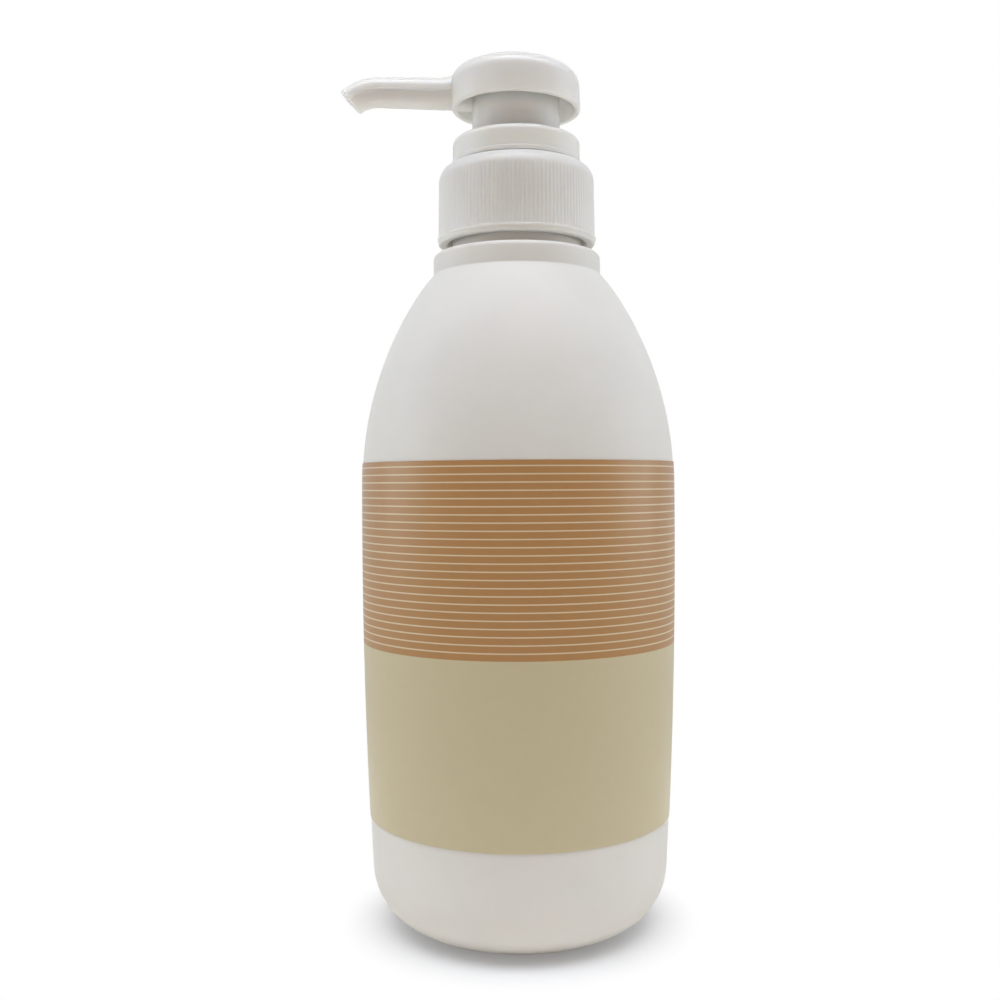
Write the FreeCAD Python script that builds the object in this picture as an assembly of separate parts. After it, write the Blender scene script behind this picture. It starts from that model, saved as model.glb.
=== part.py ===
import FreeCAD, Part
import math
import os
from FreeCAD import Vector

# Pump oil bottle, in millimetres. The origin is on the bottle's axis in the plane it stands on,
# +Z points up, the spout points along -X and the middle of the label faces -Y.

# Bottle body: blow-moulded, round in plan, with one long arc for the side
body_radius = 37.5
body_widest_height = 93.25
side_arc_radius = 1525.0
base_corner_radius = 14.5
foot_ring_width = 4.0
base_push_up = 3.0
bottle_wall = 1.3
shoulder_start_height = 106.0
shoulder_arc_radius = 80.0

# Bead ring and neck
ring_radius = 20.1
ring_height = 5.3
ring_edge_radius = 1.3
neck_height = 17.1
neck_wall = 2.0

# Screw thread of the neck and the closure, right-handed
thread_pitch = 4.2
thread_turns = 1.6
thread_depth = 0.95
thread_root_width = 2.3
thread_crest_width = 1.1
thread_rim_distance = 3.0
thread_clearance = 0.35
thread_embed = 0.4

# Label film
label_bottom_height = 26.5
label_top_height = 110.3
label_thickness = 0.15
label_glue = 0.02
label_seam_gap = 3.0

# Screw closure
closure_wall = 1.85
closure_top_wall = 1.5
closure_ring_gap = 2.3
closure_top_round = 4.2
closure_inner_round = 0.5
closure_bottom_round = 0.7
closure_band_height = 2.0
closure_float = 0.1
ridge_height = 0.7
ridge_depth = 0.15
rib_count = 120
rib_depth = 0.3

# Gasket and pump cylinder
gasket_thickness = 1.5
flange_thickness = 1.3
flange_clearance = 0.4
cylinder_wall = 1.2
cylinder_neck_clearance = 0.4
piston_bore_radius = 10.2
cone_height = 4.0
spring_room = 1.0
vent_radius = 0.6
vent_depth = 3.0
inlet_radius = 1.7
inlet_length = 1.5
push_fit = 0.02

# Dip tube
tube_radius = 3.2
tube_wall = 0.9
tube_socket_depth = 12.0
tube_foot_clearance = 2.5
tube_bevel_angle = 45.0

# Ball valves
inlet_ball_radius = 2.6
inlet_ball_lift = 1.5
outlet_ball_radius = 2.3
outlet_ball_lift = 1.2
outlet_bore_radius = 1.6
ball_side_room = 0.8
ball_seat_gap = 0.03
ball_stop_gap = 0.1
cage_thickness = 2.0
cage_hole_radius = 1.0
cage_hole_count = 4
cage_boss_height = 1.5
cage_boss_room = 0.4

# Return spring
spring_length = 26.0
spring_radius = 4.4
spring_wire = 0.9
spring_turns = 8
spring_steps_per_turn = 4
spring_gap = 0.05

# Collar
collar_radius = 15.2
collar_height = 6.2
collar_edge_radius = 1.6
collar_bead_height = 0.9
collar_bead_depth = 0.15
collar_wall = 1.4
collar_foot_wall = 1.0
collar_floor_thickness = 1.5
collar_fit = 0.05
guide_clearance = 0.3

# Pump stroke, stem, piston and rod
stroke = 6.6
head_stop_gap = 0.5
stop_gap = 0.1
swivel_gap = 0.05
stem_radius = 5.0
stem_bore_radius = 2.0
stem_shoulder_radius = 6.5
stem_shoulder_thickness = 1.2
outlet_seat_depth = 6.5
piston_height = 8.0
piston_clearance = 0.05
piston_end_gap = 1.0
piston_hub_wall = 1.4
piston_waist_depth = 1.0
lip_height = 1.6
lip_thickness = 0.7
lip_groove_depth = 2.0
rod_spigot_radius = 2.8
rod_spigot_length = 7.0
rod_bore_radius = 1.4
rod_flange_thickness = 1.4
rod_pin_length = 8.0
rod_pin_room = 0.5

# Pump head with its sleeve, boss and spout
head_radius = 15.3
head_height = 12.25
head_lean = 0.07
head_wall = 1.3
head_crown_radius = 32.0
head_corner_radius = 4.7
head_rim_radius = 0.5
sleeve_radius = 10.55
sleeve_wall = 1.2
sleeve_clearance = 0.3
sleeve_engagement = 7.0
sleeve_floor_gap = 0.5
boss_wall = 1.4
boss_depth = 6.8
ball_pin_radius = 1.0
duct_height = 3.85
spout_bore_radius = 1.5
spout_half_width = 3.5
spout_crown = 3.8
spout_keel = 4.1
spout_keel_half_width = 2.4
spout_keel_round = 1.2
spout_ledge = 0.6
spout_tip_share = 0.82
spout_flare_growth = 0.2
spout_flare_start = 12.5
spout_flare_length = 6.0
spout_flare_steps = 4
spout_straight = 32.8
spout_bend_radius = 13.0
spout_bend_angle = 36.0
spout_rise_angle = 1.5
nozzle_cut_angle = 45.0

# Side of the blocks that trim pieces, larger than any of them
cutter_size = 250.0

# Radii from the sleeve outwards: each piece is the one inside it plus its clearance and wall
collar_bore_radius = sleeve_radius + sleeve_clearance
collar_foot_radius = collar_bore_radius + collar_foot_wall
socket_radius = collar_foot_radius + collar_fit
socket_outer_radius = socket_radius + cylinder_wall
neck_bore_radius = socket_outer_radius + cylinder_neck_clearance
neck_radius = neck_bore_radius + neck_wall
thread_crest_radius = neck_radius + thread_depth
closure_bore_radius = thread_crest_radius + thread_clearance
closure_radius = closure_bore_radius + closure_wall
flange_radius = closure_bore_radius - flange_clearance
closure_opening_radius = collar_foot_radius + guide_clearance

# Arc centres of the bottle's outline, as radius and height
side_centre = (body_radius - side_arc_radius, body_widest_height)
corner_reach = side_arc_radius - base_corner_radius
corner_rise = body_widest_height - base_corner_radius
corner_centre = (side_centre[0] + math.sqrt(corner_reach**2 - corner_rise**2), base_corner_radius)
shoulder_turn = math.asin((shoulder_start_height - body_widest_height) / side_arc_radius)
shoulder_reach = side_arc_radius - shoulder_arc_radius
shoulder_centre = (
    side_centre[0] + shoulder_reach * math.cos(shoulder_turn),
    side_centre[1] + shoulder_reach * math.sin(shoulder_turn),
)

# Heights from the shoulder up to the top of the collar
ring_start_z = shoulder_centre[1] + math.sqrt(
    shoulder_arc_radius**2 - (ring_radius - shoulder_centre[0]) ** 2
)
ring_top_z = ring_start_z + ring_height
rim_z = ring_top_z + neck_height
flange_bottom_z = rim_z + gasket_thickness
flange_top_z = flange_bottom_z + flange_thickness
closure_ceiling_z = flange_top_z + closure_float
closure_top_z = closure_ceiling_z + closure_top_wall
closure_bottom_z = ring_top_z + closure_ring_gap
ridge_z = closure_bottom_z + closure_band_height
collar_base_z = closure_top_z + closure_float
collar_top_z = collar_base_z + collar_height
sleeve_end_z = collar_top_z - sleeve_engagement
collar_floor_z = sleeve_end_z - stroke - sleeve_floor_gap
collar_foot_z = collar_floor_z - collar_floor_thickness

# Heights of the plunger and the head
shoulder_top_z = collar_foot_z - stop_gap
shoulder_bottom_z = shoulder_top_z - stem_shoulder_thickness
piston_top_z = shoulder_bottom_z - swivel_gap
piston_bottom_z = piston_top_z - piston_height
stem_bottom_z = piston_bottom_z - swivel_gap
rod_flange_bottom_z = stem_bottom_z - rod_flange_thickness
head_rim_z = collar_top_z + stroke + head_stop_gap
head_top_z = head_rim_z + head_height
duct_z = head_rim_z + duct_height
stem_top_z = duct_z - spout_bore_radius - cylinder_wall
spout_overrun = math.radians(spout_bend_angle + nozzle_cut_angle)
spout_length = spout_straight + spout_bend_radius * spout_overrun

# Heights of the cylinder, downwards from the piston's lowest place
bore_end_z = piston_bottom_z - stroke - piston_end_gap
chamber_top_z = bore_end_z - cone_height
spring_top_z = rod_flange_bottom_z - spring_gap
spring_seat_z = spring_top_z - spring_length
cage_bottom_z = spring_seat_z - cage_thickness
chamber_radius = spring_radius + spring_room
cage_radius = chamber_radius - push_fit
spring_inner_radius = spring_radius - spring_wire


def ball_rise(ball_radius, bore_radius):
    """Height of a ball's centre over the foot of a 45 degree seat with that bore."""
    return math.sqrt(2) * (ball_radius + ball_seat_gap) - bore_radius


inlet_ball_z = cage_bottom_z - ball_stop_gap - inlet_ball_lift - inlet_ball_radius
inlet_seat_z = inlet_ball_z - ball_rise(inlet_ball_radius, inlet_radius)
inlet_room_radius = inlet_ball_radius + ball_side_room
tube_top_z = inlet_seat_z - inlet_length
tube_socket_end_z = tube_top_z - tube_socket_depth
tube_foot_z = base_push_up + bottle_wall + tube_foot_clearance
outlet_seat_z = stem_top_z - outlet_seat_depth
outlet_ball_z = outlet_seat_z + ball_rise(outlet_ball_radius, outlet_bore_radius)
outlet_room_radius = outlet_ball_radius + ball_side_room
ball_pin_z = outlet_ball_z + outlet_ball_radius + outlet_ball_lift + ball_stop_gap


def point(place):
    """A radius and height as a point of the half plane that is spun."""
    return Vector(place[0], 0, place[1])


def line(start, end):
    return Part.LineSegment(point(start), point(end)).toShape()


def arc(centre, start, end):
    """The short arc from start to end on the circle about centre."""
    middle = point(centre)
    first = point(start) - middle
    second = point(end) - middle
    half_way = (first + second).normalize() * first.Length
    return Part.Arc(point(start), middle + half_way, point(end)).toShape()


def spin(edges, degrees=360):
    face = Part.Face(Part.Wire(edges))
    return face.revolve(Vector(0, 0, 0), Vector(0, 0, 1), degrees)


def rounded_corner(before, corner, after, radius):
    """Start, centre and end of the arc that rounds a corner between two straight sides."""
    here = point(corner)
    back = (point(before) - here).normalize()
    ahead = (point(after) - here).normalize()
    half_angle = back.getAngle(ahead) / 2
    setback = radius / math.tan(half_angle)
    centre = here + (back + ahead).normalize() * (radius / math.sin(half_angle))
    return [(p.x, p.z) for p in (here + back * setback, centre, here + ahead * setback)]


def turned(*corners):
    """Solid of revolution of a closed outline; a third number rounds that corner."""
    edges = []
    ends = []
    for i, corner in enumerate(corners):
        radius = corner[2] if len(corner) > 2 else 0
        if radius:
            after = corners[(i + 1) % len(corners)]
            start, centre, end = rounded_corner(corners[i - 1], corner, after, radius)
            ends.append((start, end))
            edges.append(arc(centre, start, end))
        else:
            ends.append((corner[:2], corner[:2]))
    for i, (_, end) in enumerate(ends):
        start = ends[(i + 1) % len(ends)][0]
        edges.append(line(end, start))
    return spin(Part.__sortEdges__(edges))


def disc(radius, bottom, top):
    return Part.makeCylinder(radius, top - bottom, Vector(0, 0, bottom))


def tube(outer, inner, bottom, top):
    return disc(outer, bottom, top).cut(disc(inner, bottom, top))


def half_space():
    """Block under the plane z = 0, to be turned and moved to where it trims a piece."""
    corner = Vector(-cutter_size / 2, -cutter_size / 2, -cutter_size)
    return Part.makeBox(cutter_size, cutter_size, cutter_size, corner)


def on_circle(centre, radius, through):
    """Where the ray from centre through a point meets the circle."""
    ray = (point(through) - point(centre)).normalize() * radius
    spot = point(centre) + ray
    return (spot.x, spot.z)


def skin(offset, end_radius):
    """Outline of the bottle from its base to a radius on the shoulder, moved outwards by offset."""
    corner = base_corner_radius + offset
    side = side_arc_radius + offset
    shoulder = shoulder_arc_radius + offset
    foot = (corner_centre[0], corner_centre[1] - corner)
    side_start = on_circle(side_centre, side, corner_centre)
    side_end = on_circle(side_centre, side, shoulder_centre)
    rise = math.sqrt(shoulder**2 - (end_radius - shoulder_centre[0]) ** 2)
    end = (end_radius, shoulder_centre[1] + rise)
    edges = [
        line((0, foot[1]), foot),
        arc(corner_centre, foot, side_start),
        arc(side_centre, side_start, side_end),
        arc(shoulder_centre, side_end, end),
    ]
    return edges, end


def closed_skin(offset, end_radius):
    """Solid inside the bottle's outline, closed flat at its upper end."""
    edges, end = skin(offset, end_radius)
    top = (0, end[1])
    base = (0, corner_centre[1] - base_corner_radius - offset)
    return spin(edges + [line(end, top), line(top, base)])


def thread_ridge(root_radius, crest_radius, start_z):
    """Helical ridge that grows from a wall at root_radius, sunk into it a little, to crest_radius."""
    outward = 1 if crest_radius > root_radius else -1
    sunk_radius = root_radius - outward * thread_embed
    flank = (thread_root_width - thread_crest_width) / (2 * thread_depth)
    half_crest = thread_crest_width / 2
    half_sunk = half_crest + flank * abs(crest_radius - sunk_radius)
    corners = [
        Vector(sunk_radius, 0, start_z - half_sunk),
        Vector(crest_radius, 0, start_z - half_crest),
        Vector(crest_radius, 0, start_z + half_crest),
        Vector(sunk_radius, 0, start_z + half_sunk),
    ]
    profile = Part.makePolygon(corners + corners[:1])
    spine = Part.makeHelix(thread_pitch, thread_pitch * thread_turns, root_radius)
    spine.translate(Vector(0, 0, start_z))
    return Part.Wire(spine).makePipeShell([profile], True, True)


def thread_start_z():
    return rim_z - thread_rim_distance - thread_pitch * thread_turns


def bottle_body():
    edges, join = skin(0, ring_radius)
    edge_centre = (ring_radius - ring_edge_radius, ring_top_z - ring_edge_radius)
    ring_side_top = (ring_radius, edge_centre[1])
    ring_top_edge = (edge_centre[0], ring_top_z)
    neck_foot = (neck_radius, ring_top_z)
    neck_rim = (neck_radius, rim_z)
    top = (0, rim_z)
    edges += [
        line(join, ring_side_top),
        arc(edge_centre, ring_side_top, ring_top_edge),
        line(ring_top_edge, neck_foot),
        line(neck_foot, neck_rim),
        line(neck_rim, top),
        line(top, (0, 0)),
    ]
    outside = spin(edges)
    foot_inner_radius = corner_centre[0] - foot_ring_width
    dome_radius = (foot_inner_radius**2 + base_push_up**2) / (2 * base_push_up)
    dome_centre = Vector(0, 0, base_push_up - dome_radius)
    push_up = Part.makeSphere(dome_radius, dome_centre)
    push_up_inside = Part.makeSphere(dome_radius + bottle_wall, dome_centre)
    inside = closed_skin(-bottle_wall, neck_bore_radius).cut(push_up_inside)
    bore = disc(neck_bore_radius, shoulder_start_height, rim_z)
    ridge = thread_ridge(neck_radius, thread_crest_radius, thread_start_z())
    return outside.cut(push_up).cut(inside).cut(bore).fuse(ridge)


def wrap_label():
    film_inside = closed_skin(label_glue, ring_radius)
    film = closed_skin(label_glue + label_thickness, ring_radius).cut(film_inside)
    band = film.common(disc(cutter_size, label_bottom_height, label_top_height))
    seam_corner = Vector(-label_seam_gap / 2, 0, 0)
    seam = Part.makeBox(label_seam_gap, cutter_size, cutter_size, seam_corner)
    return band.cut(seam)


def rib_grooves():
    """Ring with a saw-tooth inner edge that leaves the ribs standing."""
    points = []
    for i in range(rib_count + 1):
        crest = 2 * math.pi * i / rib_count
        valley = crest + math.pi / rib_count
        valley_radius = closure_radius - rib_depth
        points.append(Vector(closure_radius * math.cos(crest), closure_radius * math.sin(crest), 0))
        points.append(Vector(valley_radius * math.cos(valley), valley_radius * math.sin(valley), 0))
    saw_tooth = Part.Face(Part.makePolygon(points[:-1]))
    blank = Part.Face(Part.Wire(Part.makeCircle(closure_radius + closure_wall)))
    grooves = blank.cut(saw_tooth).extrude(Vector(0, 0, closure_top_z - ridge_z - ridge_height))
    grooves.translate(Vector(0, 0, ridge_z + ridge_height))
    return grooves


def screw_closure():
    shell = turned(
        (closure_bore_radius, closure_bottom_z),
        (closure_radius, closure_bottom_z, closure_bottom_round),
        (closure_radius, closure_top_z, closure_top_round),
        (closure_opening_radius, closure_top_z),
        (closure_opening_radius, closure_ceiling_z),
        (closure_bore_radius, closure_ceiling_z, closure_inner_round),
    )
    ridge = turned(
        (closure_radius - ridge_depth, ridge_z),
        (closure_radius + ridge_depth, ridge_z + ridge_height / 2),
        (closure_radius - ridge_depth, ridge_z + ridge_height),
    )
    thread_z = thread_start_z() - thread_pitch / 2
    thread = thread_ridge(closure_bore_radius, neck_radius + thread_clearance, thread_z)
    return shell.cut(rib_grooves()).fuse([ridge, thread])


def neck_gasket():
    return tube(flange_radius, neck_bore_radius, rim_z, flange_bottom_z)


def collar():
    bead_radius = collar_radius + collar_bead_depth
    bead_top_z = collar_base_z + collar_bead_height
    guide_radius = stem_radius + guide_clearance
    recess_top_z = collar_top_z - collar_wall
    recess_radius = collar_radius - collar_wall
    return turned(
        (guide_radius, collar_foot_z),
        (collar_foot_radius, collar_foot_z),
        (collar_foot_radius, recess_top_z),
        (recess_radius, recess_top_z),
        (recess_radius, collar_base_z),
        (bead_radius, collar_base_z),
        (bead_radius, bead_top_z),
        (collar_radius, bead_top_z),
        (collar_radius, collar_top_z, collar_edge_radius),
        (collar_bore_radius, collar_top_z),
        (collar_bore_radius, collar_floor_z),
        (guide_radius, collar_floor_z),
    )


def pump_cylinder():
    barrel_radius = piston_bore_radius + cylinder_wall
    chamber_outer_radius = chamber_radius + cylinder_wall
    tube_socket_radius = tube_radius + push_fit
    tube_socket_outer_radius = tube_socket_radius + cylinder_wall
    cone_drop = cylinder_wall / 2
    inlet_seat_top_z = inlet_seat_z + inlet_room_radius - inlet_radius
    body = turned(
        (flange_radius, flange_bottom_z),
        (flange_radius, flange_top_z, closure_inner_round),
        (socket_radius, flange_top_z),
        (socket_radius, collar_foot_z),
        (piston_bore_radius, collar_foot_z),
        (piston_bore_radius, bore_end_z),
        (chamber_radius, chamber_top_z),
        (chamber_radius, cage_bottom_z),
        (inlet_room_radius, cage_bottom_z),
        (inlet_room_radius, inlet_seat_top_z),
        (inlet_radius, inlet_seat_z),
        (inlet_radius, tube_top_z),
        (tube_socket_radius, tube_top_z),
        (tube_socket_radius, tube_socket_end_z),
        (tube_socket_outer_radius, tube_socket_end_z),
        (tube_socket_outer_radius, inlet_seat_z),
        (chamber_outer_radius, inlet_seat_top_z),
        (chamber_outer_radius, chamber_top_z - cone_drop),
        (barrel_radius, bore_end_z - cone_drop),
        (barrel_radius, collar_foot_z - cylinder_wall - cone_drop),
        (socket_outer_radius, collar_foot_z - cylinder_wall),
        (socket_outer_radius, flange_bottom_z),
    )
    vent_start = Vector(0, 0, piston_top_z - vent_depth)
    vent = Part.makeCylinder(vent_radius, socket_outer_radius, vent_start, Vector(1, 0, 0))
    return body.cut(vent)


def dip_tube():
    straight = tube(tube_radius, tube_radius - tube_wall, tube_foot_z, tube_top_z)
    bevel = half_space()
    bevel.rotate(Vector(0, 0, 0), Vector(0, 1, 0), -tube_bevel_angle)
    bevel.translate(Vector(-tube_radius, 0, tube_foot_z))
    return straight.cut(bevel)


def ball(radius, height):
    return Part.makeSphere(radius, Vector(0, 0, height))


def inlet_ball():
    return ball(inlet_ball_radius, inlet_ball_z)


def outlet_ball():
    return ball(outlet_ball_radius, outlet_ball_z)


def valve_cage():
    plate = disc(cage_radius, cage_bottom_z, spring_seat_z)
    boss_radius = spring_inner_radius - cage_boss_room
    boss = disc(boss_radius, cage_bottom_z, spring_seat_z + cage_boss_height)
    cage = plate.fuse(boss)
    for i in range(cage_hole_count):
        turn = 2 * math.pi * i / cage_hole_count
        spot = Vector(math.cos(turn), math.sin(turn), 0) * inlet_room_radius
        spot.z = cage_bottom_z
        height = cage_thickness + cage_boss_height
        cage = cage.cut(Part.makeCylinder(cage_hole_radius, height, spot))
    return cage


def biarc(start, start_way, end, end_way):
    """Two arcs that leave start along start_way and reach end along end_way."""
    gap = end - start
    ways = start_way + end_way
    bend = 2 * (1 - start_way.dot(end_way))
    across = gap.dot(ways)
    reach = (math.sqrt(across**2 + bend * gap.dot(gap)) - across) / bend
    joint = (start + end + (start_way - end_way) * reach) * 0.5
    return [
        Part.Arc(start, arc_middle(start, start_way, joint), joint).toShape(),
        Part.Arc(joint, arc_middle(end, end_way * -1, joint), end).toShape(),
    ]


def arc_middle(start, way, end):
    """Middle of the arc that leaves start along way and ends at end."""
    chord = end - start
    half_chord = chord.Length / 2
    angle = way.getAngle(chord)
    bulge = (way - chord * (way.dot(chord) / chord.dot(chord))).normalize()
    return (start + end) * 0.5 + bulge * (half_chord * math.tan(angle / 2))


def return_spring():
    coil_radius = spring_radius - spring_wire / 2
    lead = (spring_length - spring_wire) / spring_turns
    climb = lead / (2 * math.pi)
    steps = spring_steps_per_turn * spring_turns
    places = []
    ways = []
    for i in range(steps + 1):
        turn = 2 * math.pi * i / spring_steps_per_turn
        height = spring_seat_z + spring_wire / 2 + climb * turn
        places.append(Vector(coil_radius * math.cos(turn), coil_radius * math.sin(turn), height))
        way = Vector(-coil_radius * math.sin(turn), coil_radius * math.cos(turn), climb)
        ways.append(way.normalize())
    edges = []
    for i in range(steps):
        edges += biarc(places[i], ways[i], places[i + 1], ways[i + 1])
    section = Part.Wire(Part.makeCircle(spring_wire / 2, places[0], ways[0]))
    return Part.Wire(edges).makePipeShell([section], True, False)


def piston_seal():
    outer_radius = piston_bore_radius - piston_clearance
    waist_radius = outer_radius - piston_waist_depth
    bore_radius = stem_radius + swivel_gap
    hub_radius = bore_radius + piston_hub_wall
    lip_radius = outer_radius - lip_thickness
    groove_radius = (hub_radius + lip_radius) / 2
    return turned(
        (bore_radius, piston_bottom_z),
        (hub_radius, piston_bottom_z),
        (groove_radius, piston_bottom_z + lip_groove_depth),
        (lip_radius, piston_bottom_z),
        (outer_radius, piston_bottom_z),
        (outer_radius, piston_bottom_z + lip_height),
        (waist_radius, piston_bottom_z + lip_height + piston_waist_depth),
        (waist_radius, piston_top_z - lip_height - piston_waist_depth),
        (outer_radius, piston_top_z - lip_height),
        (outer_radius, piston_top_z),
        (lip_radius, piston_top_z),
        (groove_radius, piston_top_z - lip_groove_depth),
        (hub_radius, piston_top_z),
        (bore_radius, piston_top_z),
    )


def stem():
    seat_top_z = outlet_seat_z + outlet_room_radius - outlet_bore_radius
    neck_z = outlet_seat_z - stem_bore_radius + outlet_bore_radius - cylinder_wall
    spigot_top_z = stem_bottom_z + rod_spigot_length
    return turned(
        (rod_spigot_radius, stem_bottom_z),
        (stem_radius, stem_bottom_z),
        (stem_radius, shoulder_bottom_z),
        (stem_shoulder_radius, shoulder_bottom_z),
        (stem_shoulder_radius, shoulder_top_z),
        (stem_radius, shoulder_top_z),
        (stem_radius, stem_top_z),
        (outlet_room_radius, stem_top_z),
        (outlet_room_radius, seat_top_z),
        (outlet_bore_radius, outlet_seat_z),
        (outlet_bore_radius, outlet_seat_z - cylinder_wall),
        (stem_bore_radius, neck_z),
        (stem_bore_radius, spigot_top_z),
        (rod_spigot_radius, spigot_top_z),
    )


def piston_rod():
    pin_radius = spring_inner_radius - rod_pin_room
    spigot_radius = rod_spigot_radius - push_fit
    pin_end_z = rod_flange_bottom_z - rod_pin_length
    return turned(
        (rod_bore_radius, pin_end_z),
        (pin_radius, pin_end_z),
        (pin_radius, rod_flange_bottom_z),
        (stem_shoulder_radius, rod_flange_bottom_z),
        (stem_shoulder_radius, stem_bottom_z),
        (spigot_radius, stem_bottom_z),
        (spigot_radius, stem_bottom_z + rod_spigot_length - push_fit),
        (rod_bore_radius, stem_bottom_z + rod_spigot_length - push_fit),
    )


def dome(inset, bottom, rim_round=0.0):
    """Solid under the head's crown, corner and skirt, moved inwards by inset and leaning forwards."""
    crown = head_crown_radius - inset
    corner = head_corner_radius - inset
    crown_centre = (0, head_top_z - head_crown_radius)
    corner_radius = head_radius - head_corner_radius
    reach = head_crown_radius - head_corner_radius
    corner_middle = (corner_radius, crown_centre[1] + math.sqrt(reach**2 - corner_radius**2))
    top = (0, crown_centre[1] + crown)
    crown_end = on_circle(crown_centre, crown, corner_middle)
    skirt_radius = corner_radius + corner
    skirt_top = (skirt_radius, corner_middle[1])
    rim_middle = (skirt_radius - rim_round, bottom + rim_round)
    skirt_end = (skirt_radius, rim_middle[1])
    rim = (rim_middle[0], bottom)
    foot = (0, bottom)
    edges = [
        arc(crown_centre, top, crown_end),
        arc(corner_middle, crown_end, skirt_top),
        line(skirt_top, skirt_end),
        line(rim, foot),
        line(foot, top),
    ]
    if rim_round:
        edges.insert(3, arc(rim_middle, skirt_end, rim))
    lean = FreeCAD.Matrix()
    lean.A13 = -head_lean
    lean.A14 = head_lean * head_rim_z
    return spin(edges).transformGeometry(lean)


def raised(shape):
    """Part of the spout, drawn level and turned up about the middle of the duct."""
    shape.rotate(Vector(0, 0, duct_z), Vector(0, 1, 0), spout_rise_angle)
    return shape


def spout_section(centre, tilt, share):
    """Cross-section of the spout: an arched crown on a narrower keel, with a ledge between them."""
    up = Vector(-math.sin(tilt), 0, math.cos(tilt))

    def place(across, height):
        return centre + Vector(0, across * share, 0) + up * (height * share)

    ledge = spout_half_width - spout_ledge
    keel_side = spout_keel_round - spout_keel
    corners = [(-spout_half_width, 0), (spout_half_width, 0), (ledge, 0)]
    corners += [(spout_keel_half_width, keel_side), (-spout_keel_half_width, keel_side), (-ledge, 0)]
    spots = [place(*corner) for corner in corners]
    crown = Part.Arc(spots[0], place(0, spout_crown), spots[1]).toShape()
    keel = Part.Arc(spots[3], place(0, -spout_keel), spots[4]).toShape()
    edges = [crown]
    edges.append(Part.LineSegment(spots[1], spots[2]).toShape())
    edges.append(Part.LineSegment(spots[2], spots[3]).toShape())
    edges.append(keel)
    edges.append(Part.LineSegment(spots[4], spots[5]).toShape())
    edges.append(Part.LineSegment(spots[5], spots[0]).toShape())
    return Part.Wire(edges)


def on_bend(angle):
    """Point of the spout's centre line at an angle round its bend."""
    across = spout_bend_radius * math.sin(angle)
    drop = spout_bend_radius * (1 - math.cos(angle))
    return Vector(-spout_straight - across, 0, duct_z - drop)


def spout_share(along):
    """Scale of the spout's section at a distance along its centre line, falling to the tip's."""
    return 1 - (1 - spout_tip_share) * along / spout_length


def spout():
    root = Vector(0, 0, duct_z)
    bend_end = on_bend(spout_overrun)
    straight = Part.LineSegment(root, on_bend(0)).toShape()
    bend = Part.Arc(on_bend(0), on_bend(spout_overrun / 2), bend_end).toShape()
    sweep = Part.BRepOffsetAPI.MakePipeShell(Part.Wire([straight, bend]))
    sweep.setBiNormalMode(Vector(0, 1, 0))
    sweep.add(spout_section(root, 0, spout_share(0)))
    sweep.add(spout_section(bend_end, spout_overrun, spout_share(spout_length)))
    sweep.build()
    sweep.makeSolid()
    beyond = half_space()
    beyond.rotate(Vector(0, 0, 0), Vector(0, 1, 0), 90 - nozzle_cut_angle)
    beyond.translate(on_bend(math.radians(spout_bend_angle)))
    return raised(sweep.shape().cut(beyond))


def spout_flare():
    """Hollow-sided root that widens the spout, upwards and sideways, where it runs into the dome."""
    sections = []
    for i in range(spout_flare_steps + 1):
        along = i / spout_flare_steps
        reach = spout_flare_start + spout_flare_length * along
        growth = spout_flare_growth * (1 - math.sin(along * math.pi / 2))
        lift = (spout_keel + spout_ledge) * growth
        centre = Vector(-reach, 0, duct_z + lift)
        sections.append(spout_section(centre, 0, spout_share(reach) + growth))
    return raised(Part.makeLoft(sections, True, False))


def spout_passage():
    """Way of the oil: up the boss, along the duct and out through the beak."""
    well = disc(outlet_room_radius, stem_top_z, duct_z + spout_bore_radius)
    tip = on_bend(math.radians(spout_bend_angle))
    knee = on_bend(0)
    run = Part.makeCylinder(spout_bore_radius, spout_straight, Vector(0, 0, duct_z), Vector(-1, 0, 0))
    knee_ball = Part.makeSphere(spout_bore_radius, knee)
    beak = Part.makeCylinder(spout_bore_radius, spout_length, knee, tip - knee)
    return well.fuse(raised(run.fuse([knee_ball, beak])))


def pump_head():
    outside = dome(0, head_rim_z, head_rim_radius)
    hollow = dome(head_wall, head_rim_z)
    envelope = outside.fuse(disc(head_radius - head_wall, sleeve_end_z, duct_z))
    boss_radius = stem_radius + boss_wall
    sleeve = tube(sleeve_radius, sleeve_radius - sleeve_wall, sleeve_end_z, head_top_z)
    boss = disc(boss_radius, stem_top_z - boss_depth, head_top_z)
    inner = sleeve.fuse(boss).common(envelope)
    shell = outside.cut(hollow)
    head = shell.fuse([inner, spout(), spout_flare().cut(hollow)])
    stem_socket = disc(stem_radius, stem_top_z - boss_depth, stem_top_z)
    head = head.cut(stem_socket).cut(spout_passage())
    pin = disc(ball_pin_radius, ball_pin_z, head_top_z).common(outside)
    return head.fuse(pin)


PIECES = [
    bottle_body,
    wrap_label,
    screw_closure,
    neck_gasket,
    collar,
    pump_cylinder,
    dip_tube,
    inlet_ball,
    valve_cage,
    return_spring,
    piston_seal,
    piston_rod,
    stem,
    outlet_ball,
    pump_head,
]

os.makedirs("parts", exist_ok=True)
for piece in PIECES:
    shape = piece()
    shape.exportStep(f"parts/{piece.__name__}.step")
    print(piece.__name__, len(shape.Solids), shape.isValid(), round(shape.Volume, 1))
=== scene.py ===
import math

import bmesh
import bpy
from mathutils import Matrix, Vector


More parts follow.
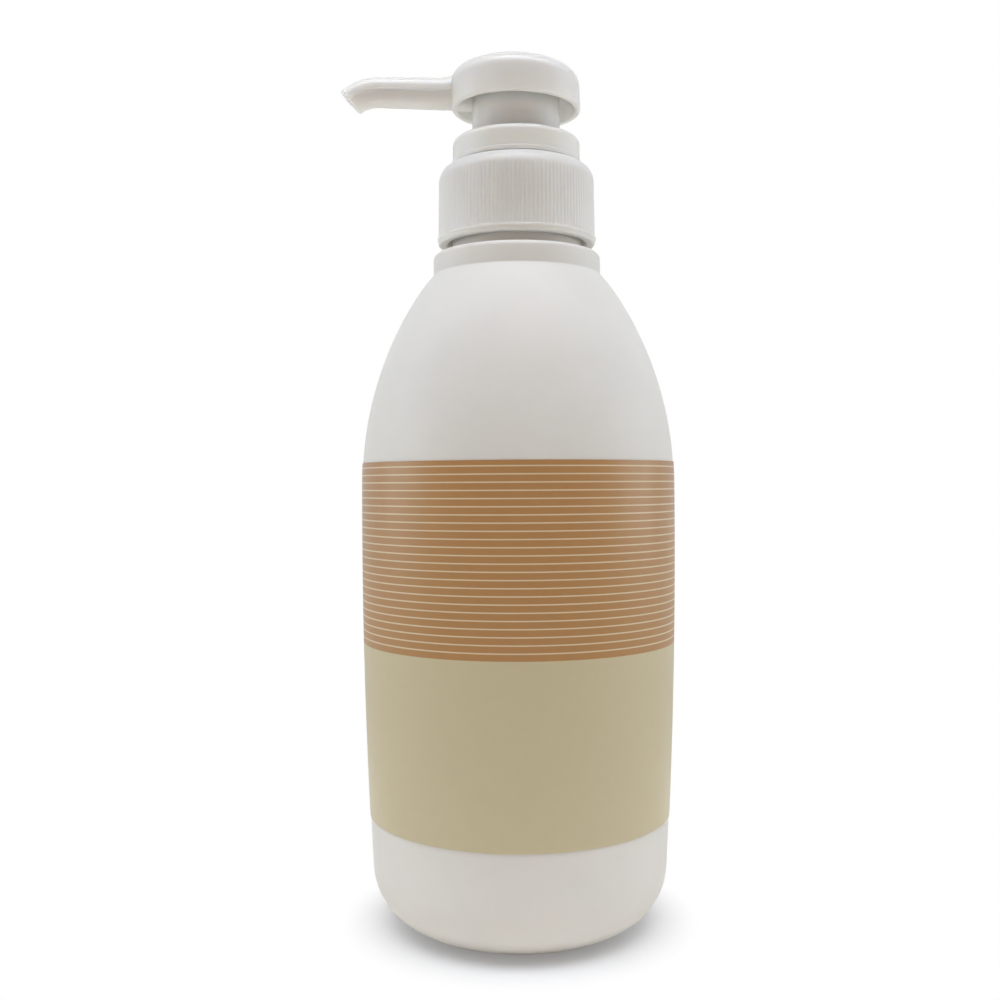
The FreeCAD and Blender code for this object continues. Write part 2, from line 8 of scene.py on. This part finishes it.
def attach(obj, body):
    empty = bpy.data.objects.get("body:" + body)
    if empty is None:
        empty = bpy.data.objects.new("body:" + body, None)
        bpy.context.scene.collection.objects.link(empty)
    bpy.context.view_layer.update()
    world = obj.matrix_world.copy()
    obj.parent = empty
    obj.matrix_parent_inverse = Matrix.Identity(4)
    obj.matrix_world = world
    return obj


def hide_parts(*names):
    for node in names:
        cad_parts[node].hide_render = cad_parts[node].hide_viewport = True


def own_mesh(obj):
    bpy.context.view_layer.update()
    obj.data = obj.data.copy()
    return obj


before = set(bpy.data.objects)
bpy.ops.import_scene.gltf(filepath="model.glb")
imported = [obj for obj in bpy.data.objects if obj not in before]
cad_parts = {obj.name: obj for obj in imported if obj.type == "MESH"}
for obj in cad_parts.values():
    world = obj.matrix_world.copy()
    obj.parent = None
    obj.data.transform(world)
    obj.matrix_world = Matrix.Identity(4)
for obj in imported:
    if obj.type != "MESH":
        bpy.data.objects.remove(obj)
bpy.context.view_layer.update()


# Bottle: blow-moulded white polyethylene with a satin skin and a pushed-up base. One long arc makes
# the side and a wide arc the shoulder; the neck above the bead ring carries the screw thread.

MM = 0.001
SHARP_EDGE = math.radians(35)
BOTTLE_TURNS = 256


def arc(centre, radius, start, end, steps):
    """Points of an arc as radius and height, in millimetres; the angles are in degrees."""
    points = []
    for i in range(steps + 1):
        turn = math.radians(start + (end - start) * i / steps)
        points.append((centre[0] + radius * math.cos(turn), centre[1] + radius * math.sin(turn)))
    return points


def softened(corners, steps=4):
    """A closed outline whose corners are rounded where they have a third number, the radius."""
    points = []
    for i, corner in enumerate(corners):
        if len(corner) == 2:
            points.append(corner)
            continue
        here = Vector(corner[:2])
        back = (Vector(corners[i - 1][:2]) - here).normalized()
        ahead = (Vector(corners[(i + 1) % len(corners)][:2]) - here).normalized()
        half = back.angle(ahead) / 2
        setback = corner[2] / math.tan(half)
        middle = here + (back + ahead).normalized() * (corner[2] / math.sin(half))
        spoke = here + back * setback - middle
        sweep = spoke.angle_signed(here + ahead * setback - middle)
        for j in range(steps + 1):
            points.append(tuple(middle + Matrix.Rotation(-sweep * j / steps, 2) @ spoke))
    return points


def smooth(mesh):
    mesh.shade_smooth()
    mesh.set_sharp_from_angle(angle=SHARP_EDGE)


def shaped(name, points, faces):
    """A piece from points in millimetres and the faces between them."""
    mesh = bpy.data.meshes.new(name)
    mesh.from_pydata([Vector(point) * MM for point in points], [], faces)
    shell = bmesh.new()
    shell.from_mesh(mesh)
    bmesh.ops.remove_doubles(shell, verts=shell.verts, dist=0.0002 * MM)
    bmesh.ops.recalc_face_normals(shell, faces=shell.faces)
    shell.to_mesh(mesh)
    shell.free()
    smooth(mesh)
    piece = bpy.data.objects.new(name, mesh)
    bpy.context.scene.collection.objects.link(piece)
    return piece


def spun(name, outline, turns, start=0.0, end=360.0, rim=None):
    """A closed outline turned about the bottle's axis; rim may change the radius round the turn."""
    closed = end - start >= 360
    columns = turns if closed else turns + 1
    count = len(outline)
    points = []
    for i in range(columns):
        turn = math.radians(start + (end - start) * i / turns)
        for radius, height in outline:
            reach = rim(turn, radius, height) if rim else radius
            points.append((reach * math.cos(turn), reach * math.sin(turn), height))
    faces = []
    for i in range(turns):
        here = i * count
        there = (i + 1) % columns * count
        for j in range(count):
            k = (j + 1) % count
            faces.append((here + j, there + j, there + k, here + k))
    if not closed:
        faces.append(tuple(range(count)))
        faces.append(tuple(reversed(range(turns * count, columns * count))))
    return shaped(name, points, faces)


def joined(base, *others):
    """One closed mesh from solids that run into each other."""
    for other in others:
        union = base.modifiers.new("union", "BOOLEAN")
        union.operation = "UNION"
        union.solver = "EXACT"
        union.object = other
    graph = bpy.context.evaluated_depsgraph_get()
    mesh = bpy.data.meshes.new_from_object(base.evaluated_get(graph))
    base.modifiers.clear()
    base.data = mesh
    smooth(mesh)
    for other in others:
        bpy.data.objects.remove(other)
    return base


def thread(name, wall, crest, start):
    """A right-hand thread on a wall; both its ends run out into the wall."""
    pitch, turns, steps, run_out, sink = 4.2, 1.6, 150, 0.1, 0.4
    root_half, crest_half = 1.4, 0.55
    outward = 1 if crest > wall else -1
    sunk = wall - outward * sink
    points = []
    for i in range(steps + 1):
        along = turns * i / steps
        share = min(1.0, along / run_out, (turns - along) / run_out)
        top = sunk + (crest - sunk) * share
        turn = 2 * math.pi * along
        middle = start + pitch * along
        section = ((sunk, -root_half), (top, -crest_half), (top, crest_half), (sunk, root_half))
        for radius, rise in section:
            points.append((radius * math.cos(turn), radius * math.sin(turn), middle + rise))
    faces = [(0, 1, 2, 3), tuple(4 * steps + j for j in (3, 2, 1, 0))]
    for i in range(steps):
        for j in range(4):
            k = (j + 1) % 4
            faces.append((4 * i + j, 4 * i + k, 4 * i + 4 + k, 4 * i + 4 + j))
    return shaped(name, points, faces)


wall = 1.3
base_radius = 49.36
base_middle = (0, -46.36)
corner_radius = 14.5
corner_middle = (20.946, 14.5)
side_radius = 1525
side_middle = (-1487.5, 93.25)
side_foot_angle = -2.9885
shoulder_radius = 80
shoulder_middle = (-42.55, 105.331)
shoulder_angle = 0.479
shoulder_end = 38.585
shoulder_fullness = 0.5
swell_start = 8
fall_start = 32
fall_share = 0.7
ring_radius = 20.1
ring_foot = 155.32
ring_top = 160.38
neck_radius = 15.5
neck_bore = 13.5
neck_rows = 16
rim_height = 177.48
rim_round = 0.35
thread_start = 167.76
thread_crest = 16.45


def bottle_side(offset):
    """Side of the bottle from its foot up to the shoulder, moved outwards by offset."""
    points = arc(corner_middle, corner_radius + offset, -90, side_foot_angle, 20)
    return points + arc(side_middle, side_radius + offset, side_foot_angle, shoulder_angle, 24)[1:]


def shoulder(steps):
    """Points of the shoulder up to the bead ring; its upper part is a little fuller than an arc."""
    points = []
    for i in range(1, steps):
        turn = shoulder_angle + (shoulder_end - shoulder_angle) * i / steps
        swell = (max(0.0, turn - swell_start) / (shoulder_end - swell_start)) ** 2
        fall = 1 - fall_share * (max(0.0, turn - fall_start) / (shoulder_end - fall_start)) ** 2
        radius = shoulder_radius + shoulder_fullness * swell * fall
        points += arc(shoulder_middle, radius, turn, turn, 1)[:1]
    return points


outside = arc(base_middle, base_radius, 90, 69.94, 12) + bottle_side(0) + shoulder(36)
outside += [(ring_radius, ring_foot, 0.5), (ring_radius, ring_top, 1.3), (neck_radius, ring_top, 0.5)]
outside += [(neck_radius, ring_top + 1 + row) for row in range(neck_rows)]
outside += [(neck_radius, rim_height, rim_round), (neck_bore, rim_height, rim_round)]
inside = arc(base_middle, base_radius + wall, 90, 70.2, 12) + bottle_side(-wall)
inside += arc(shoulder_middle, shoulder_radius - wall, shoulder_angle, 44.6, 36)[1:]
bottle = spun("bottle", softened(outside + inside[::-1]), BOTTLE_TURNS)
bottle = joined(bottle, thread("neck_thread", neck_radius, thread_crest, thread_start))


class Shade:
    """A value of a material's node tree; arithmetic on it adds Math nodes."""

    def __init__(self, tree, output=None):
        self.tree = tree
        self.output = output

    def node(self, kind, settings=None, inputs=None, output=0):
        """A node of that kind: its settings first, then the values or links of its sockets."""
        made = self.tree.nodes.new("ShaderNode" + kind)
        for key, setting in (settings or {}).items():
            setattr(made, key, setting)
        for key, value in (inputs or {}).items():
            feed(self.tree, made.inputs[key], value)
        return Shade(self.tree, made.outputs[output])

    def maths(self, operation, first, second=0.0):
        return self.node("Math", {"operation": operation}, {0: first, 1: second})

    def __add__(self, other):
        return self.maths("ADD", self, other)

    def __sub__(self, other):
        return self.maths("SUBTRACT", self, other)

    def __rsub__(self, other):
        return self.maths("SUBTRACT", other, self)

    def __mul__(self, other):
        return self.maths("MULTIPLY", self, other)

    def __truediv__(self, other):
        return self.maths("DIVIDE", self, other)

    def __abs__(self):
        return self.maths("ABSOLUTE", self)

    __radd__ = __add__
    __rmul__ = __mul__

    def step(self, low, high):
        """0 below low, 1 above high and a smooth climb between them."""
        ends = {"Value": self, "From Min": low, "From Max": high}
        return self.node("MapRange", {"interpolation_type": "SMOOTHSTEP"}, ends)

    def mix(self, first, second):
        """The first colour where this value is 0 and the second where it is 1."""
        return self.node("Mix", {"data_type": "RGBA"}, {0: self, 6: first, 7: second}, 2)

    def noise(self, scale, detail=2.0):
        return self.node("TexNoise", None, {"Vector": self, "Scale": scale, "Detail": detail})

    def axis(self, name):
        """One coordinate of a place, in millimetres."""
        return self.node("SeparateXYZ", None, {0: self}, name) * (1 / MM)

    def bump(self, depth):
        """A normal from this height, which runs from 0 to 1, and its depth in millimetres."""
        return self.node("Bump", None, {"Height": self, "Strength": 1.0, "Distance": depth * MM})


def feed(tree, socket, value):
    if isinstance(value, Shade):
        tree.links.new(value.output, socket)
    else:
        socket.default_value = value


def finish(name, sockets):
    """A material; sockets is a function from a place on its surface to the shader's values."""
    material = bpy.data.materials.new(name)
    material.use_nodes = True
    tree = material.node_tree
    shader = tree.nodes["Principled BSDF"]
    place = Shade(tree).node("TexCoord", output="Object")
    for key, value in sockets(place).items():
        feed(tree, shader.inputs[key], value)
    return material


def moulded(colour, roughness, grain, milkiness, depth):
    """Moulded plastic: faint clouds of colour and gloss, a fine grain and some light under the skin."""

    def sockets(place):
        cloud = place.noise(70.0, 3.0)
        cloudy = [0.97 * part for part in colour]
        return {
            "Base Color": cloud.step(0.3, 0.7).mix((*cloudy, 1), (*colour, 1)),
            "Roughness": roughness + (cloud - 0.5) * 0.1,
            "Normal": place.noise(700.0, 2.0).bump(grain),
            "IOR": 1.5,
            "Specular IOR Level": 0.5,
            "Subsurface Weight": milkiness,
            "Subsurface Radius": (1.0, 0.95, 0.85),
            "Subsurface Scale": depth * MM,
            "Subsurface Anisotropy": 0.7,
        }

    return sockets


def dress(piece, material):
    piece.data.materials.clear()
    piece.data.materials.append(material)


BOTTLE_WHITE = (0.815, 0.81, 0.792)


def bottle_skin(place):
    """Satin skin with the faint upright lines where the two mould halves met."""
    sockets = moulded(BOTTLE_WHITE, roughness=0.45, grain=0.006, milkiness=0.4, depth=1.5)(place)
    seam = 1 - abs(place.axis("Y")).step(0.1, 0.35)
    sockets["Normal"] = (place.noise(900.0, 3.0) * 0.15 + seam).bump(0.04)
    return sockets


dress(bottle, finish("bottle_plastic", bottle_skin))
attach(bottle, "bottle")
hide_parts("bottle_body")


# Label: printed film glued round the straight part of the body, with a narrow bare strip between its
# ends at the back. The upper band is brown with fine cream lines, the lower band plain beige.

label_foot = -2.5083
label_shoulder_top = 3.554
label_seam_half = 2.29
label_back = 0.02
label_face = 0.17


def label_side(offset):
    """The label's height on the bottle, as an outline that stands off the skin by offset."""
    side = arc(side_middle, side_radius + offset, label_foot, shoulder_angle, 20)
    top = arc(shoulder_middle, shoulder_radius + offset, shoulder_angle, label_shoulder_top, 6)
    return side + top[1:]


label = spun(
    "label",
    label_side(label_face) + label_side(label_back)[::-1],
    BOTTLE_TURNS,
    90 + label_seam_half,
    450 - label_seam_half,
)

LABEL_BROWN = (0.475, 0.242, 0.080)
LABEL_CREAM = (0.72, 0.59, 0.40)
LABEL_BEIGE = (0.62, 0.55, 0.36)
first_line = 109.05
line_spacing = 1.728
line_core = 0.08
line_edge = 0.22
lines_foot = 68.4
band_foot = 67.7
band_blur = 0.08


def label_print(place):
    """Colours by height: cream lines at even steps down the brown band, then plain beige."""
    height = place.axis("Z")
    count = (first_line - height) / line_spacing
    nearest = abs(count.maths("FRACT", count + 0.5) - 0.5) * line_spacing
    line = (1 - nearest.step(line_core, line_edge)) * height.step(lines_foot, lines_foot + 0.1)
    ink = place.noise(400.0, 4.0)
    brown = ink.mix((*[0.9 * part for part in LABEL_BROWN], 1), (*LABEL_BROWN, 1))
    beige = ink.mix((*[0.95 * part for part in LABEL_BEIGE], 1), (*LABEL_BEIGE, 1))
    striped = line.mix(brown, (*LABEL_CREAM, 1))
    return {
        "Base Color": height.step(band_foot - band_blur, band_foot + band_blur).mix(beige, striped),
        "Roughness": 0.40 + (place.noise(120.0) - 0.5) * 0.12,
        "Normal": place.noise(500.0, 2.0).bump(0.006),
        "IOR": 1.5,
        "Coat Weight": 0.5,
        "Coat Roughness": 0.25,
    }


dress(label, finish("label_film", label_print))
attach(label, "bottle")
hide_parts("wrap_label")


# Pump works inside the bottle: moulded cylinder, dip tube, cage, piston, rod and stem, a drawn wire
# spring and two steel balls. Only the spring is drawn anew.

NATURAL = (0.87, 0.87, 0.83)
PISTON_GREY = (0.78, 0.80, 0.82)
FOAM_WHITE = (0.80, 0.80, 0.77)
WIRE_STEEL = (0.62, 0.62, 0.63)
BALL_STEEL = (0.70, 0.70, 0.71)
natural_finish = moulded(NATURAL, roughness=0.30, grain=0.002, milkiness=0.6, depth=4.0)
piston_finish = moulded(PISTON_GREY, roughness=0.5, grain=0.004, milkiness=0.3, depth=2.0)
foam_finish = moulded(FOAM_WHITE, roughness=0.75, grain=0.03, milkiness=0.1, depth=1.0)
natural_plastic = finish("natural_plastic", natural_finish)
for part in ("pump_cylinder", "dip_tube", "valve_cage", "piston_rod", "stem"):
    dress(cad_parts[part], natural_plastic)
dress(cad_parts["piston_seal"], finish("piston_plastic", piston_finish))
dress(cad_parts["neck_gasket"], finish("gasket_foam", foam_finish))


def drawn_steel(colour, roughness, streaks):
    """Bare steel with fine marks along one direction, as drawing or polishing leaves them."""

    def sockets(place):
        stretched = place.node("Mapping", None, {"Vector": place, "Scale": (1.0, 1.0, streaks)})
        marks = stretched.noise(900.0, 3.0)
        return {
            "Base Color": marks.mix((*[0.85 * part for part in colour], 1), (*colour, 1)),
            "Metallic": 1.0,
            "Roughness": roughness + marks * 0.12,
            "Normal": marks.bump(0.002),
        }

    return sockets


spring_seat = 135.73
spring_length = 26.0
spring_turns = 8
coil_radius = 3.95
wire_radius = 0.45
wire_steps = 12
coil_steps = 32 * spring_turns
points = []
for i in range(coil_steps + 1):
    coil = 2 * math.pi * spring_turns * i / coil_steps
    middle = spring_seat + wire_radius + (spring_length - 2 * wire_radius) * i / coil_steps
    for reach, rise in arc((coil_radius, middle), wire_radius, 0, 360, wire_steps)[:-1]:
        points.append((reach * math.cos(coil), reach * math.sin(coil), rise))
last = coil_steps * wire_steps
faces = [tuple(range(wire_steps)), tuple(range(last + wire_steps - 1, last - 1, -1))]
for i in range(0, last, wire_steps):
    for j in range(wire_steps):
        k = (j + 1) % wire_steps
        faces.append((i + j, i + wire_steps + j, i + wire_steps + k, i + k))
spring = shaped("spring", points, faces)
dress(spring, finish("spring_steel", drawn_steel(WIRE_STEEL, roughness=0.28, streaks=6.0)))
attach(spring, "pump_body")
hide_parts("return_spring")
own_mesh(spring)

ball_steel = finish("ball_steel", drawn_steel(BALL_STEEL, roughness=0.08, streaks=1.0))
for part in ("inlet_ball", "outlet_ball"):
    dress(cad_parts[part], ball_steel)


# Screw closure: injection-moulded white polypropylene cap. Fine upright ribs stand between a raised
# bead near its foot and the rounded top, and a thread inside runs on the neck.

closure_radius = 18.65
closure_draft = 0.25
closure_bore = 16.8
closure_foot = 162.68
closure_top = 181.88
closure_opening = 12.15
closure_ceiling = 180.38
bead_foot = 163.75
bead_top = 164.45
bead_bulge = 0.27
bead_flank = 0.20
bore_rows = 16
rib_count = 120
rib_depth = 0.14
rib_steps = 8


def ribbed(turn, radius, height):
    """Radius of the closure, wider at its foot, with its ribs: rounded crests and narrow grooves."""
    if radius < closure_bore + 0.2:
        return radius
    draft = closure_draft * (closure_top - height) / (closure_top - closure_foot)
    if height <= bead_top + 0.02:
        return radius + draft
    wave = abs(math.cos(turn * rib_count / 2))
    return min(radius, closure_radius - rib_depth * (1 - wave)) + draft


bead_height = bead_top - bead_foot
closure_outline = [
    (closure_bore, closure_foot, 0.2),
    (closure_radius, closure_foot, 0.5),
    (closure_radius, bead_foot),
    (closure_radius + bead_flank, bead_foot + 0.18 * bead_height),
    (closure_radius + bead_bulge, bead_foot + 0.5 * bead_height),
    (closure_radius + bead_flank, bead_foot + 0.82 * bead_height),
    (closure_radius, bead_top),
    (closure_radius, bead_top + 0.04),
    (closure_radius, bead_top + 4.0),
    (closure_radius, bead_top + 8.0),
    (closure_radius, closure_top, 4.2),
    (closure_opening, closure_top, 0.2),
    (closure_opening, closure_ceiling),
    (closure_bore, closure_ceiling, 0.5),
]
closure_outline += [(closure_bore, closure_ceiling - 1 - row) for row in range(bore_rows)]
closure = spun("closure", softened(closure_outline, 12), rib_count * rib_steps, rim=ribbed)
inner_crest = neck_radius + 0.35
inner_start = thread_start - 2.1
closure = joined(closure, thread("closure_thread", closure_bore, inner_crest, inner_start))
CLOSURE_WHITE = (0.82, 0.817, 0.806)
closure_finish = moulded(CLOSURE_WHITE, roughness=0.36, grain=0.002, milkiness=1.0, depth=3.0)
dress(closure, finish("closure_plastic", closure_finish))
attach(closure, "closure")
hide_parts("screw_closure")


# Collar: smooth white ring on the closure, pressed into the pump cylinder by its hidden foot. A low
# bead runs round its lower edge and the head's sleeve slides through its bore.

collar_radius = 15.32
collar_bead = 15.47
collar_foot = 181.91
collar_top = 188.18
collar_bore = 10.85
plug_radius = 11.85
plug_foot = 172.58
plug_floor = 174.08
plug_opening = 5.3
groove_radius = 13.8
groove_top = 186.78
collar_outline = [
    (plug_opening, plug_foot),
    (plug_radius, plug_foot),
    (plug_radius, groove_top),
    (groove_radius, groove_top),
    (groove_radius, collar_foot),
    (collar_bead, collar_foot, 0.05),
    (collar_bead, 182.88, 0.12),
    (collar_radius, 182.98, 0.05),
    (collar_radius, collar_top, 1.6),
    (collar_bore, collar_top, 0.25),
    (collar_bore, plug_floor),
    (plug_opening, plug_floor),
]
collar = spun("collar_ring", softened(collar_outline, 8), 192)
PUMP_WHITE = (0.86, 0.858, 0.842)
pump_finish = moulded(PUMP_WHITE, roughness=0.22, grain=0.001, milkiness=1.0, depth=1.6)
dress(collar, finish("pump_plastic", pump_finish))
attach(collar, "pump_body")
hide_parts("collar")


# Pump head: one white polypropylene moulding. A dome that leans towards the spout has a skirt, a
# sleeve and a boss that grips the stem; the spout has an arched top and a narrower keel below it.

head_rim = 195.28
head_lean = 0.035
head_tilt = 0.022
dome_radius = 32.0
dome_middle = (0, 175.53)
dome_corner = 3.9
dome_corner_middle = (11.65, 201.101)
dome_corner_angle = 65.51
dome_wall = 1.3
skirt_radius = 15.55


def dome_side(inset):
    points = arc(dome_middle, dome_radius - inset, 90, dome_corner_angle, 16)
    return points + arc(dome_corner_middle, dome_corner - inset, dome_corner_angle, 0, 12)[1:]


dome_outline = dome_side(0)
dome_outline += [(skirt_radius, head_rim, 0.5), (skirt_radius - dome_wall, head_rim, 0.3)]
dome_outline += dome_side(dome_wall)[::-1]
head = spun("head", softened(dome_outline), 192)
lean = Matrix.Identity(4)
lean[0][2] = -head_lean
lean[0][3] = head_lean * head_rim * MM
lean[2][0] = -head_tilt
head.data.transform(lean)


def under_dome(radius):
    """A height in the middle of the dome's wall, for the pieces that grow out of it."""
    return dome_middle[1] + math.sqrt((dome_radius - dome_wall / 2) ** 2 - radius**2)


sleeve_end = 181.18
sleeve_radius = 10.55
sleeve_bore = 9.35
sleeve = spun(
    "sleeve",
    softened([
        (sleeve_bore, sleeve_end, 0.2),
        (sleeve_radius, sleeve_end, 0.3),
        (sleeve_radius, under_dome(sleeve_radius)),
        (sleeve_bore, under_dome(sleeve_bore)),
    ]),
    192,
)
boss = spun(
    "boss",
    [
        (0, 195.225), (1.0, 195.225), (1.0, 200.63), (3.1, 200.63), (3.1, 196.43), (5.0, 196.43),
        (5.0, 189.63), (6.4, 189.63), (6.4, under_dome(6.4)), (0, under_dome(0)),
    ],
    96,
)

duct_height = 199.38
spout_straight = 32.9
spout_bend = 11.23
spout_rise = math.radians(1.5)
tip_angle = math.radians(40.3)
cut_angle = math.radians(40)
spout_length = spout_straight + spout_bend * (tip_angle + cut_angle)
tip_share = 0.82
spout_bore = 1.5

crown = arc((0, 0.288), 3.512, 184.7, -4.7, 28)
spout_outline = softened(
    crown[:-1] + [(3.5, 0, 0.2), (2.9, 0, 0.25), (2.4, -3.15, 0.6)]
    + arc((0, -1.35), 3.0, -36.87, -143.13, 10)[1:-1]
    + [(-2.4, -3.15, 0.6), (-2.9, 0, 0.25)]
)
bore_outline = []
for across, height in spout_outline:
    turn = math.atan2(height, across)
    bore_outline.append((spout_bore * math.cos(turn), spout_bore * math.sin(turn)))


def spout_place(along, across, height):
    """A point of the spout: along its centre line, then across and above it."""
    turn = max(0.0, along - spout_straight) / spout_bend
    reach = min(along, spout_straight) + spout_bend * math.sin(turn) + height * math.sin(turn)
    rise = spout_bend * (math.cos(turn) - 1) + height * math.cos(turn)
    x = -reach * math.cos(spout_rise) + rise * math.sin(spout_rise)
    z = reach * math.sin(spout_rise) + rise * math.cos(spout_rise)
    return Vector((x, across, duct_height + z))


cut_point = spout_place(spout_straight + spout_bend * tip_angle, 0, 0)
cut_way = Vector((-math.cos(cut_angle + spout_rise), 0, -math.sin(cut_angle + spout_rise)))


def spout_share(along):
    return 1 - (1 - tip_share) * along / spout_length


flare_start = 14.0
flare_end = 18.5
flare_run = 6.0
flare_size = 0.2
flare_lift = 4.7


def spout_flare(along):
    """Extra size of the spout where it grows out of the dome."""
    share = 1 - (flare_end - along) / flare_run
    swollen = flare_size * (1 - math.sin(share * math.pi / 2))
    return swollen if flare_start <= along <= flare_end else 0.0


def ring_at(along):
    """Cross-section of the spout at a distance along its straight run."""
    flare = spout_flare(along)
    size = spout_share(along) + flare
    lift = flare_lift * flare
    return [spout_place(along, size * across, size * height + lift) for across, height in spout_outline]


def cut_length(across, height, depth, tapered):
    """How far along the centre line a string of the spout reaches to be that deep inside the cut."""
    low, high = spout_straight, spout_length
    for _ in range(40):
        middle = (low + high) / 2
        size = spout_share(middle) if tapered else 1.0
        spot = spout_place(middle, size * across, size * height)
        if (spot - cut_point).dot(cut_way) < -depth:
            low = middle
        else:
            high = middle
    return low


def tip_ring(outline, depth, share, tapered=True):
    """Cross-section near the slanting mouth; share runs from the start of the bend to the mouth."""
    ring = []
    for across, height in outline:
        end = cut_length(across, height, depth, tapered)
        along = spout_straight + (end - spout_straight) * share
        size = spout_share(along) if tapered else 1.0
        ring.append(spout_place(along, size * across, size * height))
    return ring


def scaled(outline, share):
    return [(share * across, share * height) for across, height in outline]


bend_steps = 18
lip_round = 0.3
lip_steps = 4
flare_steps = 14
rings = [ring_at(along) for along in (5.0, 10.0, 13.95)]
for i in range(flare_steps + 1):
    rings.append(ring_at(flare_start + (flare_end - flare_start) * i / flare_steps))
rings += [ring_at(along) for along in (20.0, 23.0, 26.0, 29.0, 31.8, spout_straight)]
rings += [tip_ring(spout_outline, lip_round, (i + 1) / bend_steps) for i in range(bend_steps)]
for i in range(1, lip_steps + 1):
    turn = math.pi / 2 * i / lip_steps
    inset = 1 - lip_round * (1 - math.cos(turn)) / 3.0
    rings.append(tip_ring(scaled(spout_outline, inset), lip_round * (1 - math.sin(turn)), 1.0))
rings.append(tip_ring(scaled(bore_outline, 1.15), 0.0, 1.0, False))
rings.append(tip_ring(scaled(bore_outline, 1.03), 0.06, 1.0, False))
rings += [tip_ring(bore_outline, 0.25, 1 - i / 10, False) for i in range(11)]
rings += [[spout_place(along, *spot) for spot in bore_outline] for along in (20.0, 5.0)]
count = len(spout_outline)
faces = []
for i in range(len(rings)):
    j = (i + 1) % len(rings)
    for k in range(count):
        m = (k + 1) % count
        faces.append((i * count + k, j * count + k, j * count + m, i * count + m))
spout = shaped("spout", [point for ring in rings for point in ring], faces)

head = joined(head, sleeve, boss, spout)
HEAD_WHITE = (0.91, 0.907, 0.89)
head_finish = moulded(HEAD_WHITE, roughness=0.20, grain=0.001, milkiness=1.0, depth=3.0)
dress(head, finish("head_plastic", head_finish))
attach(head, "plunger")
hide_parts("pump_head")


# Studio: a white table in a white room with a white backdrop. A wide soft box hangs over the bottle,
# towards the front, a low band of light runs round the sides and back, and the front is dim and warm.

FLOOR_NEAR = (0.90, 0.86, 0.79, 1)
FLOOR_FAR = (0.66, 0.63, 0.55, 1)
FLOOR_SEEN = (0.76, 0.76, 0.77, 1)
WHITE = (1, 1, 1, 1)
shadow_clearing = 0.22
bpy.ops.mesh.primitive_plane_add(size=4.0)
floor = bpy.context.object
floor.name = "floor"
table = bpy.data.materials.new("white_table")
table.use_nodes = True
start = Shade(table.node_tree)
place = start.node("TexCoord", output="Object")
seen = start.node("LightPath", output="Is Camera Ray")
distance = place.node("VectorMath", {"operation": "LENGTH"}, {0: place}, "Value")
bounce = distance.step(0.08, 0.25).mix(FLOOR_NEAR, FLOOR_FAR)
matt = start.node("BsdfDiffuse", None, {"Color": seen.mix(bounce, FLOOR_SEEN)})
white = start.node("Emission", None, {"Color": WHITE, "Strength": 1.0})
clear = (shadow_clearing + (1 - shadow_clearing) * distance.step(0.028, 0.044)) * seen
sheet = start.node("MixShader", None, {0: clear, 1: matt, 2: white})
feed(table.node_tree, table.node_tree.nodes["Material Output"].inputs["Surface"], sheet)
dress(floor, table)

FRONT_LOW = (0.79, 0.57, 0.46, 1)
QUARTER_LOW = (1.12, 1.05, 0.90, 1)
FRONT_HIGH = (0.02, 0.02, 0.02, 1)
SIDE_LOW = (2.14, 2.34, 2.30, 1)
SIDE_MIDDLE = (0.38, 0.44, 0.70, 1)
SIDE_HIGH = (1.27, 1.38, 1.55, 1)
BACK_LOW = (2.08, 2.10, 2.12, 1)
BACK_HIGH = (0.04, 0.04, 0.04, 1)
BOX_FRONT = (4.46, 4.63, 4.90, 1)
BOX_BACK = (0.80, 0.60, 0.25, 1)
MIRRORED_WHITE = (0.68, 0.68, 0.68, 1)
world = bpy.data.worlds.new("studio")
bpy.context.scene.world = world
world.use_nodes = True
start = Shade(world.node_tree)
way = start.node("TexCoord", output="Generated")
depth = way.node("SeparateXYZ", None, {0: way}, "Y")
height = way.node("SeparateXYZ", None, {0: way}, "Z")
behind = depth.step(0.25, 0.4)
low = 1 - height.step(0.0, 0.45)
front = depth.step(-0.7, -0.5).mix(FRONT_LOW, QUARTER_LOW)
front = low.mix(FRONT_HIGH, front)
sides = height.step(0.45, 0.65).mix(SIDE_MIDDLE, SIDE_HIGH)
sides = low.mix(sides, SIDE_LOW)
walls = depth.step(-0.3, -0.2).mix(front, sides)
room = behind.mix(walls, low.mix(BACK_HIGH, BACK_LOW))
soft_box = depth.step(-0.15, 0.15).mix(BOX_FRONT, BOX_BACK)
room = height.step(0.75, 0.95).mix(room, soft_box)
seen = start.node("LightPath", output="Is Camera Ray")
glossy = start.node("LightPath", output="Is Glossy Ray")
passing = start.node("LightPath", output="Is Transmission Ray")
mirrored = glossy.maths("MINIMUM", glossy + passing, 1.0)
room = (mirrored * behind).mix(room, MIRRORED_WHITE)
background = world.node_tree.nodes["Background"]
feed(world.node_tree, background.inputs["Color"], seen.mix(room, WHITE))

lens = bpy.data.cameras.new("camera")
lens.sensor_width = 36.0
lens.lens = 40.9
lens.clip_start = 0.01
camera = bpy.data.objects.new("camera", lens)
camera.location = (-0.00435, -0.2763, 0.10525)
camera.rotation_euler = (math.pi / 2 - 0.0143, 0.0055, 0)
bpy.context.scene.collection.objects.link(camera)
bpy.context.scene.camera = camera
bpy.context.scene.view_settings.view_transform = "Standard"
